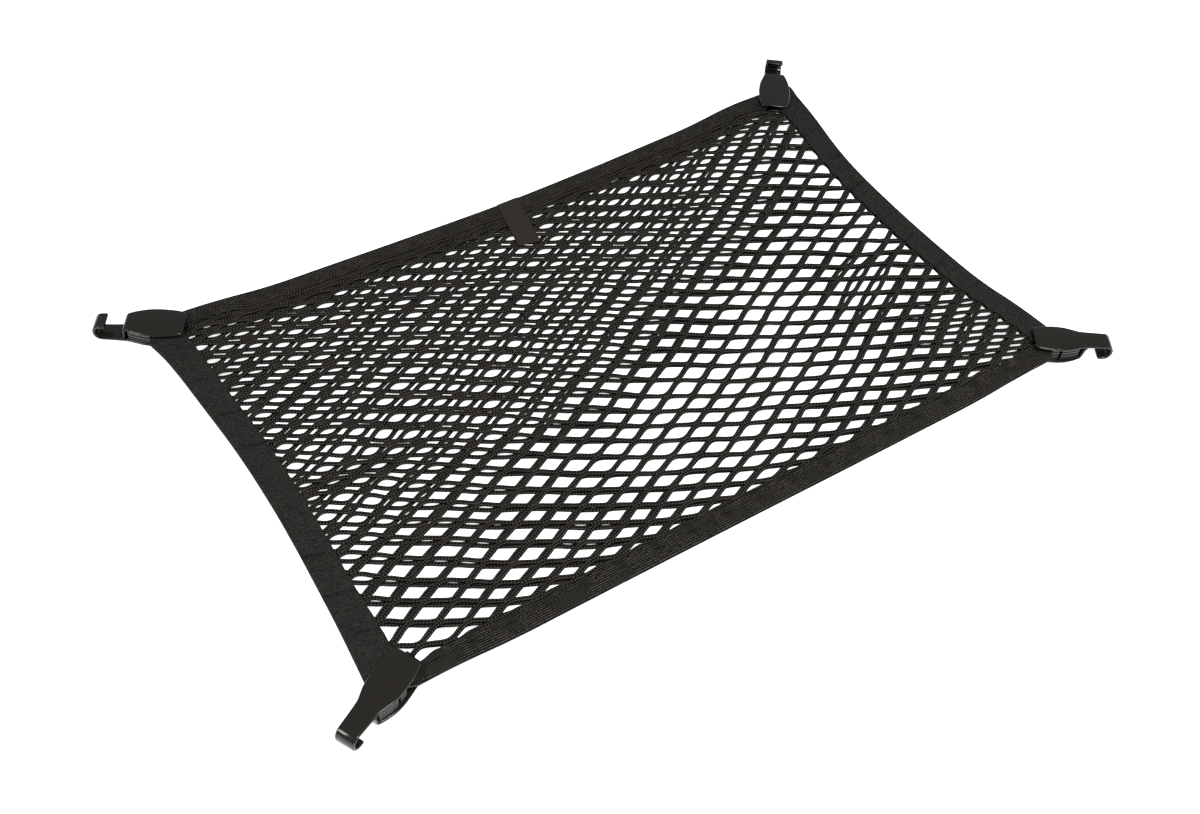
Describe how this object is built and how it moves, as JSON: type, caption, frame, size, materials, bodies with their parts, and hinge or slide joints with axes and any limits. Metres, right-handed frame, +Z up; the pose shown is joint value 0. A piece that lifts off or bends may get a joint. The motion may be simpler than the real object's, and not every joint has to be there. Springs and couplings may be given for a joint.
{
  "type": "cargo net",
  "caption": "Elastic luggage net for a car boot: diamond netting in two layers, edged with webbing and elastic, with a plastic hook at each corner and a pull tab",
  "frame": {"origin": "on the floor, under the middle of the whole net with its hooks", "axes": "+X to the right along the long side, +Y to the back edge with the pull tab, +Z up"},
  "size_m": [0.799, 0.5044, 0.017],
  "materials": {
    "knitted_cord": "black knitted cord, matt with a slight sheen on its stitches",
    "woven_webbing": "black woven webbing, matt, fine twill",
    "ribbed_elastic": "black woven elastic with fine cross ribs",
    "ribbon": "black plain ribbon, slightly lighter than the bands",
    "moulded_plastic": "black moulded plastic, satin, fine grain"
  },
  "bodies": {
    "root": {"net_top": "knitted_cord", "net_bottom": "knitted_cord", "band_left": "woven_webbing", "band_right": "woven_webbing", "band_front": "ribbed_elastic", "band_back_top": "ribbed_elastic", "band_back_bottom": "ribbed_elastic", "pull_tab": "ribbon", "hook_plate_front_left": "moulded_plastic", "hook_plate_front_right": "moulded_plastic", "hook_plate_back_left": "moulded_plastic", "hook_plate_back_right": "moulded_plastic", "hook_cover_front_left": "moulded_plastic", "hook_cover_front_right": "moulded_plastic", "hook_cover_back_left": "moulded_plastic", "hook_cover_back_right": "moulded_plastic"}
  },
  "joints": []
}
